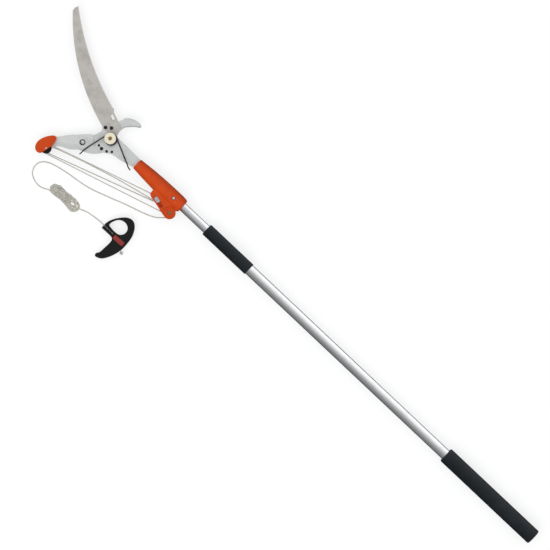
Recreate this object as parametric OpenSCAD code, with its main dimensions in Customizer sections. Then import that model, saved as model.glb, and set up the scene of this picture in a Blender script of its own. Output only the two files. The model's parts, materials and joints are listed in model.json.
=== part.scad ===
// Telescoping pole saw with a rope-worked bypass lopper.
// The pole lies along X, butt at X = 0 and head at +X. The head's plates lie in XY,
// the rope side is +Y, the saw and hook side is -Y, and +Z is up from the ground.
// Head dimensions are measured from the lever's pivot, which stands at pivot_x.

/* [Pole] */
// Outer radius of the lower tube
lower_r = 15; // [14.5:0.1:15.2]
// Outer radius of the upper tube
upper_r = 12.2; // [11.8:0.1:12.4]
// Wall of both tubes
tube_wall = 1.3; // [1.1:0.1:1.5]
// Radius of the grip, which is also the height of the pole's axis above the ground
grip_r = 22; // [22:0.5:23]
// Length of the grip
grip_l = 326; // [280:1:380]
// Start of the twist sleeve
sleeve_x0 = 1055; // [1040:1:1070]
// Length of the twist sleeve
sleeve_l = 158; // [158:1:165]
// Outer radius of the twist sleeve
sleeve_r = 17.5; // [17.3:0.1:19]

/* [Head] */
// Distance from the butt to the lever's pivot
pivot_x = 1570; // [1560:1:1590]
// Thickness of the frame plate with the hook
frame_t = 3.5; // [3:0.1:4]
// Thickness of the cutting blade and of the lever
lever_t = 3; // [2.5:0.1:3.2]
// Thickness of the saw blade
saw_t = 1.6; // [1.2:0.1:2]
// Distance between the saw's teeth
tooth_pitch = 5; // [4:0.5:8]
// Depth of the saw's teeth
tooth_depth = 3; // [2:0.5:4]
// Radius of the spring spool's flange
spool_r = 15.7; // [15:0.1:16.5]
// Wire diameter of the return spring
spring_wire_d = 3.4; // [3:0.1:3.6]

/* [Rope] */
// Diameter of the pull rope
rope_d = 3; // [2.5:0.1:3.2]
// Height of the folded hank of rope
hank_h = 7.3; // [6:0.1:7.5]

/* [Handle] */
// Thickness of the pull handle
handle_t = 18; // [17:0.5:19]
// Travel of the rope lock's button
button_travel = 2.5; // [1.5:0.5:2.5]

/* [Hidden] */

$fn = 48;
floor_z = -grip_r;
rope_r = rope_d / 2;
fit = 0.06;          // radial clearance of a running fit
gap = 0.3;           // clearance between plates that slide past each other

// Pole, along X from the butt
tube_x0 = 6;
lower_x1 = 1150;
lower_in = lower_r - tube_wall;
upper_x0 = 70;
upper_in = upper_r - tube_wall;
sleeve_x1 = sleeve_x0 + sleeve_l;
lock_r = 16.2;       // outside of the threaded body under the sleeve
collet_x0 = 1160;
collet_x1 = 1184;
collet_r0 = 15;
collet_r1 = 13.8;
nose_bore = upper_r + 0.4;

// Heights in the head, from the pole's axis
frame_z0 = -frame_t / 2;
frame_z1 = frame_t / 2;
blade_z1 = frame_z0 - gap;
blade_z0 = blade_z1 - lever_t;
lever_z0 = blade_z1;
lever_z1 = lever_z0 + lever_t;
saw_z1 = frame_z1 + saw_t;
coil_z0 = saw_z1 + spring_wire_d / 2 + 0.15;
coil_pitch = spring_wire_d + 0.2;
bolt_shank_r = 4;

// Housing, from the pivot
house_x0 = -268;
tube_end_x = -160;
house_x1 = -99;
tongue_w = 24;
tongue_x0 = -156;
wing_h = 13;
boss_h = 15;
pole_bolt_at = [-235, 0];
screw_xs = [-146, -116];

// Sheaves: place, rope radius and mid-height
sheave_t = 5.6;
lever_axle = [108.2, 137.6];
front_axle = [-205, 33];
rear_axle = [-254, 37];
upper_rope_r = 13;
lower_rope_r = 10;
front_rope_r = 7;
rear_rope_r = 11.6;
rim = 1.8;           // how far a sheave's rim stands past the rope's centre
upper_z = lever_z1 + 0.4 + sheave_t / 2;
lower_z = lever_z0 - 0.4 - sheave_t / 2;
front_z = 4;
rear_z = -5;
axle_r = 2.5;
boss_r = 16.5;

// Handle, from the pivot
handle_z0 = floor_z;
handle_z1 = handle_z0 + handle_t;
channel_z = handle_z0 + 7;
button_at = [-204.5, 185.3];
button_size = [34, 13, 6];
button_turn = 2;
button_z0 = handle_z1 + 0.5 - button_size[2];

// Places of fasteners on the head's plates, from the pivot
saw_bolt_at = [[30, -13], [17, -23]];
stud_angles = [74, 92, 117, 140];
stud_rs = [3.4, 4.8, 3.6, 3.6];
stud_ring_r = 36;
rivet_at = [48, 59];

// Closed outline with its corners cut n times, which turns them into smooth curves
function rounded(p, n) = n == 0 ? p : rounded(
    [for (i = [0:len(p) - 1]) for (t = [0.25, 0.75]) p[i] * (1 - t) + p[(i + 1) % len(p)] * t],
    n - 1
);

// The same for an open line, whose two ends stay where they are
function softened(p) = concat(
    [p[0]],
    [for (i = [0:len(p) - 2]) for (t = [0.25, 0.75]) p[i] * (1 - t) + p[i + 1] * t],
    [p[len(p) - 1]]
);

// Points on the arc from a to b that bulges by s to the left of the way from a to b
function bulged(a, b, s, n) =
    let (d = b - a, side = [-d[1], d[0]] / norm(d))
    [for (i = [0:n]) let (t = i / n) a + d * t + side * s * 4 * t * (1 - t)];

// Points on a circle's arc in the XY plane at height z
function turn(c, r, a0, a1, n, z) =
    [for (i = [0:n]) let (a = a0 + (a1 - a0) * i / n) [c[0] + r * cos(a), c[1] + r * sin(a), z]];

// Smooth curve through hand-chosen points, m steps from each to the next
function curve_point(p, i, t) =
    let (
        n = len(p) - 1,
        a = p[max(i - 1, 0)],
        b = p[i],
        c = p[i + 1],
        d = p[min(i + 2, n)]
    )
    0.5 * (2 * b + (c - a) * t + (2 * a - 5 * b + 4 * c - d) * t * t
        + (3 * b - a - 3 * c + d) * t * t * t);
function through(p, m) = concat(
    [for (i = [0:len(p) - 2]) for (k = [0:m - 1]) curve_point(p, i, k / m)],
    [p[len(p) - 1]]
);

// One ring of a round tube that follows a path
function way(p, i) =
    let (d = p[min(i + 1, len(p) - 1)] - p[max(i - 1, 0)]) d / norm(d);
function ring(p, i, r, n) =
    let (t = way(p, i), c = cross(t, [0, 0, 1]), s = c / norm(c), u = cross(s, t))
    [for (k = [0:n - 1]) p[i] + r * (cos(360 * k / n) * s + sin(360 * k / n) * u)];

module tube_along(p, r, n = 8) {
    last = len(p) - 1;
    polyhedron(
        points = [for (i = [0:last]) each ring(p, i, r, n)],
        faces = concat(
            [[for (k = [0:n - 1]) k]],
            [for (i = [0:last - 1]) for (k = [0:n - 1])
                [i * n + k, (i + 1) * n + k, (i + 1) * n + (k + 1) % n, i * n + (k + 1) % n]],
            [[for (k = [n - 1:-1:0]) last * n + k]]
        )
    );
}

module at_head() translate([pivot_x, 0, 0]) children();

// Solid of revolution about X, from [x, radius] points
module turned(p) rotate([0, 90, 0]) rotate([0, 0, 90]) rotate_extrude($fn = 96)
    polygon([for (q = p) [q[1], q[0]]]);

module rod_x(x0, x1, r) translate([x0, 0, 0]) rotate([0, 90, 0]) cylinder(r = r, h = x1 - x0);

module pipe_x(x0, x1, r, bore) difference() {
    rod_x(x0, x1, r);
    rod_x(x0 - 1, x1 + 1, bore);
}

module slab(z0, z1) translate([0, 0, z0]) linear_extrude(z1 - z0) children();

module post(at, r, z0, z1) translate([at[0], at[1], z0]) cylinder(r = r, h = z1 - z0);

// ---- Pole ----

module lower_tube() color([0.82, 0.83, 0.85]) pipe_x(tube_x0, lower_x1, lower_r, lower_in);

module lower_tube_plug() color([0.12, 0.12, 0.13]) rod_x(tube_x0, tube_x0 + 24, lower_in);

module bottom_grip() color([0.1, 0.11, 0.13]) {
    edge = 3;
    turned([
        [0, 0], [0, grip_r - edge], [edge, grip_r], [grip_l - edge, grip_r],
        [grip_l, grip_r - edge], [grip_l, lower_r], [tube_x0, lower_r], [tube_x0, 0]
    ]);
}

// Threaded body on the end of the lower tube, with a seat for the collet
module lock_body() color([0.14, 0.14, 0.15]) {
    x0 = 1100;
    x1 = collet_x0;
    groove = 0.6;
    difference() {
        union() {
            pipe_x(x0, lower_x1, lock_r, lower_r);
            pipe_x(lower_x1, x1, lock_r, nose_bore);
        }
        for (x = [x0 + 8:5:lower_x1 - 6])
            pipe_x(x, x + 2, lock_r + 1, lock_r - groove);
    }
}

// Split ring that grips the upper tube
module lock_collet() color([0.75, 0.75, 0.72]) {
    slit = 3;
    difference() {
        turned([
            [collet_x0, upper_r + fit], [collet_x0, collet_r0],
            [collet_x1, collet_r1], [collet_x1, upper_r + fit]
        ]);
        translate([collet_x0 - 1, -slit / 2, 0])
            cube([collet_x1 - collet_x0 + 2, slit, collet_r0 + 1]);
    }
}

// Twist sleeve: its inside follows the tube, the threaded body and the collet's cone
module lock_sleeve() color([0.1, 0.11, 0.13]) {
    edge = 2;
    body_bore = lock_r + 0.1;
    turned([
        [sleeve_x0, lower_r + gap], [sleeve_x0, sleeve_r - edge],
        [sleeve_x0 + edge, sleeve_r], [sleeve_x1 - 3, sleeve_r],
        [sleeve_x1, sleeve_r - 2.5], [sleeve_x1, nose_bore],
        [collet_x1 + 6, nose_bore], [collet_x1 + 2, collet_r1 + gap],
        [collet_x0, collet_r0 + gap + 0.2], [collet_x0, body_bore],
        [1094, body_bore], [1094, lower_r + gap]
    ]);
}

module upper_tube() color([0.84, 0.85, 0.87]) difference() {
    pipe_x(upper_x0, pivot_x + tube_end_x, upper_r, upper_in);
    at_head() post(pole_bolt_at, 3, -20, 20);
}

// Guide bush plugged into the lower end of the upper tube, running in the lower tube
module upper_tube_bush() color([0.16, 0.16, 0.17]) {
    rod_x(upper_x0 - 24, upper_x0, lower_in - fit);
    rod_x(upper_x0, upper_x0 + 20, upper_in);
}

// ---- Housing ----

module housing_block() {
    wing = [
        [-180, 0], [-179, 26], [-181, 35], [-189, 39.5], [-204, 42], [-231, 49],
        [-246, 52.5], [-262, 30], [-262, 0]
    ];
    turned([
        [house_x0, 0], [house_x0, 17], [-266, 19.5], [-262, 21.2], [-250, grip_r], [-215, grip_r],
        [-180, 21.3], [-150, 19.8], [-128, 18.2], [house_x1, 15.6], [house_x1, 0]
    ]);
    slab(-wing_h, wing_h) polygon(wing);
    post(rear_axle, boss_r, -boss_h, boss_h);
}

// Everything that is cut out of the two shells
module housing_cavities() {
    side = 0.3;
    wheel_gap = 0.5;
    front_r = front_rope_r + rim + 1.6;
    rear_r = rear_rope_r + rim + 0.8;
    half_t = sheave_t / 2 + side;
    rod_x(house_x0 - 1, tube_end_x, upper_r);
    slab(frame_z0, frame_z1)
        translate([tongue_x0, -tongue_w / 2]) square([house_x1 - tongue_x0 + 1, tongue_w]);
    // front sheave, its mouth for the two strands, and the window over it
    post(front_axle, front_r, front_z - half_t, front_z + half_t);
    slab(front_z - half_t, front_z + half_t)
        polygon([[-206, 22.8], [-170, 27], [-170, 56], [-209, 43]]);
    slab(front_z, wing_h + 1) hull() {
        translate([-200, 32.5]) circle(r = 5.6, $fn = 32);
        translate([-224, 38]) circle(r = 5, $fn = 32);
    }
    // rear sheave, the strand that comes to it and the way out for the pull rope
    post(rear_axle, rear_r, rear_z - half_t, rear_z + half_t);
    translate([-250.3, 26, rear_z - 4.7]) rotate([0, 0, 18.8])
        translate([0, -2.8, 0]) cube([90, 5.6, 7.4]);
    translate([-262.2, 45.1, rear_z - 2.7]) rotate([0, 0, 45])
        translate([0, -2.8, 0]) cube([30, 5.6, 5.4]);
    // pocket and hole for the rope's fixed end
    post([-246, 46], 3.8, -0.5, 8.3);
    translate([-246, 46, 4.5]) rotate([0, 0, 16.6]) rotate([0, 90, 0])
        cylinder(r = rope_r + 0.6, h = 30);
    // fasteners
    post(front_axle, 2, -5, wing_h - 3);
    post(rear_axle, axle_r, -boss_h + 2, boss_h + 1);
    post(rear_axle, 5, boss_h - 2, boss_h + 1);
    post(pole_bolt_at, 3, -grip_r - 1, grip_r + 1);
    post(pole_bolt_at, 5.4, 17.5, grip_r + 1);
    post(pole_bolt_at, 5.6, -grip_r - 1, -17);
    for (x = screw_xs) {
        post([x, 0], 2, -grip_r, 9);
        post([x, 0], 3.6, -grip_r, -9);
    }
}

module housing_upper_shell() color([0.85, 0.28, 0.08]) at_head() difference() {
    intersection() {
        housing_block();
        translate([-300, -60, 0]) cube([250, 160, 60]);
    }
    housing_cavities();
}

module housing_lower_shell() color([0.8, 0.25, 0.08]) at_head() difference() {
    intersection() {
        housing_block();
        translate([-300, -60, -60]) cube([250, 160, 60]);
    }
    housing_cavities();
}

module housing_screws() color([0.55, 0.55, 0.56]) at_head() for (x = screw_xs) {
    post([x, 0], 2, -9, 8.5);
    post([x, 0], 3.6, -11, -9);
}

module pole_bolt() color([0.88, 0.88, 0.9]) at_head() {
    post(pole_bolt_at, 3, -20.5, 17.5);
    post(pole_bolt_at, 4.8, 17.5, 20.3);
}

module pole_nut() color([0.8, 0.8, 0.82]) at_head() difference() {
    translate([pole_bolt_at[0], pole_bolt_at[1], -20.5]) cylinder(r = 5.4, h = 3.5, $fn = 6);
    post(pole_bolt_at, 3, -21, -16);
}

// ---- Frame plate, saw and pivot ----

module frame_plate() color([0.78, 0.8, 0.79]) at_head() {
    outline = [
        [24, -37], [14, -51], [10, -62], [-2, -74], [-20, -82], [-38, -83], [-41, -77],
        [-27, -69], [-15, -57], [-6, -46], [-5, -30], [-8, -17], [-14, -15], [-30, -15],
        [-92, -15], [-97, -15], [-97, -12], [-102, -12], [-150, -12], [tongue_x0, -8],
        [tongue_x0, 8], [-150, 12], [-102, 12], [-97, 12], [-97, 15], [-92, 16],
        [-74, 20], [-58, 24.5], [-40, 26.5],
        [-30, 29], [-20, 36], [-6, 43], [8, 45], [20, 40], [33, 26], [36, 14], [31, 4],
        [32, -3], [40, -10], [38, -20]
    ];
    difference() {
        slab(frame_z0, frame_z1) polygon(rounded(outline, 2));
        post([0, 0], bolt_shank_r, -5, 5);
        for (at = saw_bolt_at) post(at, 2.5, -5, 5);
        for (a = stud_angles) post(stud_ring_r * [cos(a), sin(a)], 2, -5, 5);
        for (x = screw_xs) post([x, 0], 2, -5, 5);
    }
}

module frame_studs() color([0.08, 0.08, 0.09]) at_head() for (i = [0:len(stud_angles) - 1]) {
    at = stud_ring_r * [cos(stud_angles[i]), sin(stud_angles[i])];
    post(at, 2, frame_z0, frame_z1);
    post(at, stud_rs[i], frame_z1, frame_z1 + 2);
}

// Curved saw: a plain convex back, a toothed concave edge and a tang with a slot and a hole
module saw_blade() color([0.66, 0.65, 0.62]) at_head() {
    tip_back = [311, -182];
    tip_edge = [307, -202];
    heel = [48, -65];
    tang_back = [34, -8];
    steps = floor(norm(tip_edge - heel) / tooth_pitch);
    back = bulged(tip_back, tang_back, -23.5, 20);
    edge = bulged(heel, tip_edge, 14.5, steps * 2);
    inward = [0.46, 0.89];
    teeth = [for (i = [0:steps * 2])
        edge[i] + inward * tooth_depth * (i % 2 == 0 && i > 0 && i < steps * 2 ? 1 : 0)];
    tang = [[22, -8], [6, -15], [-4, -26], [-4, -41], [41, -58]];
    difference() {
        slab(frame_z1, saw_z1) polygon(concat(back, tang, teeth, [[312, -193]]));
        translate([34.5, -46.5, 0]) rotate([0, 0, -22.6]) slab(-1, 9) square([13, 6.6], center = true);
        post([18, -39], 3, 0, 9);
        for (at = saw_bolt_at) post(at, 2.5, 0, 9);
    }
}

module saw_bolts() color([0.1, 0.1, 0.11]) at_head() for (at = saw_bolt_at) {
    post(at, 2.5, -6.5, saw_z1);
    post(at, 5, saw_z1, saw_z1 + 3.5);
}

module saw_nuts() color([0.12, 0.12, 0.13]) at_head() for (at = saw_bolt_at) difference() {
    translate([at[0], at[1], -5.2]) cylinder(r = 4.6, h = 5.2 + frame_z0, $fn = 6);
    post(at, 2.5, -7, 0);
}

spool_z1 = coil_z0 + coil_pitch * 2.28 + spring_wire_d / 2 + 3.2;

module pivot_bolt() color([0.6, 0.52, 0.3]) at_head() {
    post([0, 0], bolt_shank_r, -13, spool_z1 - 0.8);
    post([0, 0], 5, spool_z1 - 0.8, spool_z1 + 0.7);
}

module pivot_nut() color([0.3, 0.3, 0.31]) at_head() difference() {
    translate([0, 0, -12]) cylinder(r = 8.5, h = 12 + blade_z0 - gap, $fn = 6);
    post([0, 0], bolt_shank_r, -13, 0);
}

module spring_spool() color([0.95, 0.93, 0.84]) at_head() difference() {
    union() {
        post([0, 0], 9.8, frame_z1, spool_z1 - 3);
        post([0, 0], spool_r, spool_z1 - 3, spool_z1);
    }
    post([0, 0], bolt_shank_r, 0, spool_z1 + 1);
    post([0, 0], 6, spool_z1 - 0.8, spool_z1 + 1);
}

// Torsion spring: one leg hooks the edge of the frame's neck, the other the lever's edge
module return_spring() color([0.07, 0.07, 0.08]) at_head() {
    coil_at = [-3.5, 0];
    coil_r = 15.5;
    a0 = 245;
    a1 = 344.5 + 720;
    turns = (a1 - a0) / 360;
    top_z = coil_z0 + coil_pitch * turns;
    low_z = frame_z1 + spring_wire_d / 2 + 0.15;
    steps = 48;
    coil = [for (i = [0:steps]) let (a = a0 + (a1 - a0) * i / steps)
        [coil_at[0] + coil_r * cos(a), coil_at[1] + coil_r * sin(a), coil_z0 + coil_pitch * turns * i / steps]];
    frame_leg = [
        [-97, 25, -3], [-93, 24.5, -1.5], [-88, 23.2, 1.5], [-83, 20.5, low_z],
        [-55, 7.5, low_z], [-28, -5.2, coil_z0]
    ];
    lever_leg = [
        [17, 14, top_z - 1.5], [22, 34, top_z - 4], [27, 54, top_z - 8.6],
        [30, 68, lever_z1 + 2.2], [31, 78, lever_z1 + 1.2], [31.5, 83, -2.5], [32, 87, -5.5]
    ];
    tube_along(concat(frame_leg, coil, lever_leg), spring_wire_d / 2, 10);
}

// ---- Lever ----

module cutting_blade() color([0.72, 0.74, 0.73]) at_head() {
    edge = [[4, -19], [-8, -18], [-30, -16], [-50, -16], [-70, -15], [-86, -11]];
    spine = [[-87, -9], [-78, 3], [-56, 13], [-34, 18], [-18, 28], [-8, 48], [6, 62], [18, 71], [34, 77]];
    tail = [[46, 82], [58, 80], [66, 70], [62, 54], [51, 38], [42, 26], [33, 13], [25, 0], [15, -13]];
    difference() {
        slab(blade_z0, blade_z1) polygon(concat(edge, softened(concat(spine, tail))));
        post([0, 0], bolt_shank_r + fit, -12, 5);
        post(rivet_at, 4, -12, 5);
    }
}

module lever_arm() color([0.76, 0.77, 0.75]) at_head() {
    inner = [for (a = [66:-6:30]) 46.5 * [cos(a), sin(a)]];
    outer = [[46, 26], [56, 36], [68, 49], [86, 66], [103, 88], [117, 106], [125, 122], [125, 140],
        [116, 149], [102, 147], [97, 136], [95, 118], [84, 107], [62, 98], [46, 84], [34, 70], [22, 58]];
    difference() {
        slab(lever_z0, lever_z1) polygon(concat(inner, softened(outer)));
        post(rivet_at, 4, -12, 5);
        post(lever_axle, axle_r, -12, 9);
    }
}

module lever_rivet() color([0.3, 0.3, 0.31]) at_head() {
    post(rivet_at, 4, blade_z0, lever_z1);
    post(rivet_at, 8, lever_z1, lever_z1 + 2.2);
    post(rivet_at, 6.5, blade_z0 - 1.6, blade_z0);
}

// Cap over the lever's end: two cheeks joined by a rim, open towards the rope
module lever_cap() color([0.85, 0.27, 0.08]) at_head() {
    skin = 2.4;
    z1 = upper_z + sheave_t / 2 + 0.4 + skin;
    z0 = lower_z - sheave_t / 2 - 0.4 - skin;
    outline = [
        [107, 96], [116, 97], [125, 107], [134, 122], [138, 138], [135, 153], [125, 162],
        [113, 161], [107, 150], [104, 133], [100, 120], [103, 106]
    ];
    inside = [[96, 90], [116, 101], [126, 116], [135, 136], [134, 149], [124, 158], [112, 158], [90, 170], [80, 120]];
    difference() {
        slab(z0, z1) polygon(rounded(outline, 2));
        slab(z0 + skin, lever_z0) polygon(rounded(inside, 2));
        slab(lever_z1, z1 - skin) polygon(rounded(inside, 2));
        lever_hollow();
        post(lever_axle, axle_r, -20, 20);
    }
}

// Space for the lever's end inside the cap
module lever_hollow() slab(lever_z0, lever_z1) polygon([
    [70, 60], [103, 88], [117, 106], [125, 122], [125, 140], [116, 149], [102, 147], [80, 150], [60, 100]
]);

module lever_sheave_pin() color([0.7, 0.7, 0.72]) at_head() {
    top = upper_z + sheave_t / 2 + 0.4 + 2.4;
    low = lower_z - sheave_t / 2 - 0.4 - 2.4;
    post(lever_axle, axle_r, low, top);
}

// Grooved wheel that turns freely on its pin
module sheave(at, rope_at, z, bore) difference() {
    half = sheave_t / 2;
    translate([at[0], at[1], z]) rotate_extrude($fn = 96) polygon([
        [bore, -half], [rope_at + rim, -half], [rope_at + rim, -half + 0.6],
        [rope_at - 0.5, -rope_r - 0.15], [rope_at - rope_r - 0.4, -1.2],
        [rope_at - rope_r - 0.4, 1.2], [rope_at - 0.5, rope_r + 0.15],
        [rope_at + rim, half - 0.6], [rope_at + rim, half], [bore, half]
    ]);
    for (a = [0:60:300]) if (rope_at > 9)
        post(at + (rope_at + bore) / 2.15 * [cos(a), sin(a)], 1.1, z - 9, z + 9);
}

module lever_sheave_upper() color([0.09, 0.09, 0.1]) at_head()
    sheave(lever_axle, upper_rope_r, upper_z, axle_r + fit);

module lever_sheave_lower() color([0.09, 0.09, 0.1]) at_head()
    sheave(lever_axle, lower_rope_r, lower_z, axle_r + fit);

module housing_sheave_front() color([0.75, 0.75, 0.77]) at_head()
    sheave(front_axle, front_rope_r, front_z, 2 + fit);

module front_sheave_pin() color([0.7, 0.7, 0.72]) at_head() post(front_axle, 2, -5, wing_h - 3);

module housing_sheave_rear() color([0.1, 0.1, 0.11]) at_head()
    sheave(rear_axle, rear_rope_r, rear_z, axle_r + fit);

module rear_sheave_screw() color([0.5, 0.2, 0.1]) at_head() {
    post(rear_axle, axle_r, -boss_h + 2, boss_h - 2);
    post(rear_axle, 4.8, boss_h - 2, boss_h - 0.2);
}

// ---- Rope ----

// Strand that bows sideways by s and sags by d between its ends
function strand(a, b, s, d) =
    let (v = b - a, side = [-v[1], v[0], 0] / norm([v[0], v[1]]))
    [for (t = [0.2, 0.4, 0.6, 0.8]) a + v * t + (side * s - [0, 0, d]) * 4 * t * (1 - t)];

// The four-part tackle: fixed end, upper lever sheave, front sheave, lower lever sheave, rear sheave
module tackle_rope() color([0.78, 0.76, 0.7]) at_head() {
    sag = 3;
    upper_turn = turn(lever_axle, upper_rope_r, 106.6, -72.6, 8, upper_z);
    front_turn = turn(front_axle, front_rope_r, -72.6, -254.5, 8, front_z);
    lower_turn = turn(lever_axle, lower_rope_r, -74.5, 108.8, 8, lower_z);
    rear_turn = turn(rear_axle, rear_rope_r, -71.2, -225, 8, rear_z);
    fixed_end = [-243, 46.9, 4.5];
    way_out = [-254, 53.3, rear_z];
    tube_along(concat(
        [fixed_end], strand(fixed_end, upper_turn[0], 0, sag),
        upper_turn, strand(upper_turn[8], front_turn[0], 1, sag),
        front_turn, strand(front_turn[8], lower_turn[0], -6, sag),
        lower_turn, strand(lower_turn[8], rear_turn[0], 0, sag),
        rear_turn, [way_out]
    ), rope_r);
}

module anchor_knot() color([0.78, 0.76, 0.7]) at_head() translate([-246, 46, 4.5]) sphere(r = 3);

// Route of the free rope from the rear sheave to the hank, from the pivot, on the ground
lie = floor_z + rope_r;
pull_route = [
    [-254, 53.3, rear_z], [-247, 60.4, -6.5], [-237, 69, -12], [-225, 76, -18],
    [-211, 82, lie], [-194, 88, lie], [-168, 96, lie], [-143, 104, lie], [-119, 113, lie],
    [-96, 121, lie], [-76, 128, lie], [-57, 134, lie], [-36, 139, lie], [-12, 143, lie],
    [12, 146, lie], [36, 150, lie], [58, 155, lie], [76, 161, lie], [90, 170, lie],
    [98, 183, lie], [98, 198, lie], [91, 212, lie], [77, 221, lie], [60, 225, lie],
    [46, 223.5, lie], [34, 218.5, lie], [24, 213.5, lie]
];

// Keeps a path from dipping below height z
function above(p, z) = [for (q = p) [q[0], q[1], max(q[2], z)]];

module pull_rope() color([0.78, 0.76, 0.7]) at_head()
    tube_along(above(through(pull_route, 2), lie), rope_r);

// Folded hank: a bundle with round ends
hank_end = [22, 202];
hank_end_r = 14;
hank_eye = [-54, 199];
hank_eye_r = 16.5;

module rope_hank() color([0.76, 0.74, 0.68]) at_head() slab(floor_z, floor_z + hank_h) {
    translate(hank_end) circle(r = hank_end_r);
    translate(hank_eye) circle(r = hank_eye_r);
    polygon([
        hank_end + [0, hank_end_r], hank_eye + [0, hank_end_r + 0.5],
        hank_eye - [0, hank_end_r + 0.5], hank_end - [0, hank_end_r]
    ]);
}

// Route from the hank through the handle to the knot
handle_route = [
    [-70.4, 194, lie], [-84, 189.5, lie], [-99, 186, lie], [-116, 183.5, -19.5],
    [-133, 182, -16.5], [-148, 182, channel_z], [-167, 182, channel_z], [-186, 183, channel_z],
    [-201, 186, channel_z], [-215, 193, channel_z], [-229.3, 203, channel_z]
];

module handle_rope() color([0.78, 0.76, 0.7]) at_head()
    tube_along(above(through(handle_route, 2), lie), rope_r);

module end_knot() color([0.72, 0.72, 0.7]) at_head()
    translate([-233.6, 205.4, channel_z]) sphere(r = 5);

// ---- Handle ----

module handle_body() color([0.07, 0.07, 0.08]) at_head() {
    outline = [
        [-147, 191], [-147, 188], [-147, 176], [-149, 165], [-156, 150], [-166, 136],
        [-180, 122], [-197, 118], [-212, 128], [-223, 148], [-227, 168], [-228, 194],
        [-225, 212], [-217, 234], [-206, 252], [-193, 259], [-184, 259], [-183, 250],
        [-189, 244], [-190, 228], [-192, 202], [-188, 192], [-176, 191], [-152, 191.5]
    ];
    finger = [
        [-156, 173], [-157, 161], [-163, 148], [-172, 140], [-186, 137], [-199, 142],
        [-205, 153], [-203, 165], [-194, 174], [-180, 175.5], [-168, 174.5]
    ];
    channel = [
        [-140, 179.7], [-167, 179.7], [-188, 180.7], [-203, 183.8], [-217, 191.2], [-236, 203],
        [-236, 209], [-214, 195.6], [-201, 188.6], [-186, 185.3], [-167, 184.3], [-140, 184.3]
    ];
    difference() {
        slab(handle_z0, handle_z1) polygon(rounded(outline, 2));
        slab(handle_z0 - 1, handle_z1 + 1) polygon(rounded(finger, 2));
        slab(channel_z - rope_r - 0.5, channel_z + rope_r + 0.5) polygon(channel);
        slab(channel_z, handle_z1 + 1) polygon([
            [-140, 179.7], [-167, 179.7], [-182, 180.2], [-182, 184.8], [-167, 184.3], [-140, 184.3]
        ]);
        button_recess();
    }
}

module button_outline(grow) {
    corner = 2;
    size = [button_size[0] + 2 * grow, button_size[1] + 2 * grow];
    translate(button_at) rotate([0, 0, button_turn]) {
        square([size[0] - 2 * corner, size[1]], center = true);
        square([size[0], size[1] - 2 * corner], center = true);
        for (x = [-1, 1]) for (y = [-1, 1])
            translate([x * (size[0] / 2 - corner), y * (size[1] / 2 - corner)]) circle(r = corner);
    }
}

module button_recess() slab(button_z0 - button_travel - 1.2, handle_z1 + 1) button_outline(0.3);

module rope_lock_button() color([0.68, 0.2, 0.16]) at_head()
    slab(button_z0, button_z0 + button_size[2]) button_outline(0);

// Small spring under the button
module rope_lock_spring() color([0.7, 0.7, 0.72]) at_head() {
    wire_r = 0.4;
    z0 = button_z0 - button_travel - 1.2 + wire_r;
    z1 = button_z0 - wire_r;
    steps = 30;
    tube_along([for (i = [0:steps]) let (a = 900 * i / steps)
        [button_at[0] + 3.6 * cos(a), button_at[1] + 3.6 * sin(a), z0 + (z1 - z0) * i / steps]],
        wire_r, 6);
}

lower_tube();
lower_tube_plug();
bottom_grip();
lock_body();
lock_collet();
lock_sleeve();
upper_tube();
upper_tube_bush();
housing_upper_shell();
housing_lower_shell();
housing_screws();
pole_bolt();
pole_nut();
frame_plate();
frame_studs();
saw_blade();
saw_bolts();
saw_nuts();
pivot_bolt();
pivot_nut();
spring_spool();
return_spring();
cutting_blade();
lever_arm();
lever_rivet();
lever_cap();
lever_sheave_pin();
lever_sheave_upper();
lever_sheave_lower();
housing_sheave_front();
front_sheave_pin();
housing_sheave_rear();
rear_sheave_screw();
tackle_rope();
anchor_knot();
pull_rope();
rope_hank();
handle_rope();
end_knot();
handle_body();
rope_lock_button();
rope_lock_spring();
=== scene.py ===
"""Telescoping pole saw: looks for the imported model.

Metres, in the row frame: the pole lies along X, its butt at X = 0 and its head at +X.
Head dimensions are written in millimetres from the lever's pivot and turned into metres by head().
"""
import json
import math

import bmesh
import bpy
import numpy as np
from mathutils import Matrix, Vector

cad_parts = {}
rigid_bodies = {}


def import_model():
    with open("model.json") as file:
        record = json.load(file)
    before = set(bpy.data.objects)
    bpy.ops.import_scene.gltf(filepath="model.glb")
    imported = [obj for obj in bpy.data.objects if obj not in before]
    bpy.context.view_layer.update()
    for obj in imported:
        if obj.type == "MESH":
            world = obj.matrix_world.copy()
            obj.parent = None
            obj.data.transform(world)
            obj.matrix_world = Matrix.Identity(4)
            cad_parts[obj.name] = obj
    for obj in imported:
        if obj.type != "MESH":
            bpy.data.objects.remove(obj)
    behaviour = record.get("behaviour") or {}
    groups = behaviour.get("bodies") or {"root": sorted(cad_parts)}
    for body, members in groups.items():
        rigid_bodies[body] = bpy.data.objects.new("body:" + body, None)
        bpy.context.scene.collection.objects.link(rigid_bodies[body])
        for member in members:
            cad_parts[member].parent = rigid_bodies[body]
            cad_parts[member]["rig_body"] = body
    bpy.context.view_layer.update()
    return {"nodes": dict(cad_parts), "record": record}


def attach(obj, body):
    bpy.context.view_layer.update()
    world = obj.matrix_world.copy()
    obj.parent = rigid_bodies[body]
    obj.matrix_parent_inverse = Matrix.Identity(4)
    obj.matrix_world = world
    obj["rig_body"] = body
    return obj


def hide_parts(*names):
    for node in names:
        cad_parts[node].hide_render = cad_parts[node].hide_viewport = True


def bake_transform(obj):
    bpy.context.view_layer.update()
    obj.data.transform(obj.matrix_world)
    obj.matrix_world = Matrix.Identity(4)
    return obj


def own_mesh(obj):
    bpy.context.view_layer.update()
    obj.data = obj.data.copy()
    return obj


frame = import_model()

MM = 0.001
PIVOT_X = 1.570
FLOOR_Z = -0.022


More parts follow.
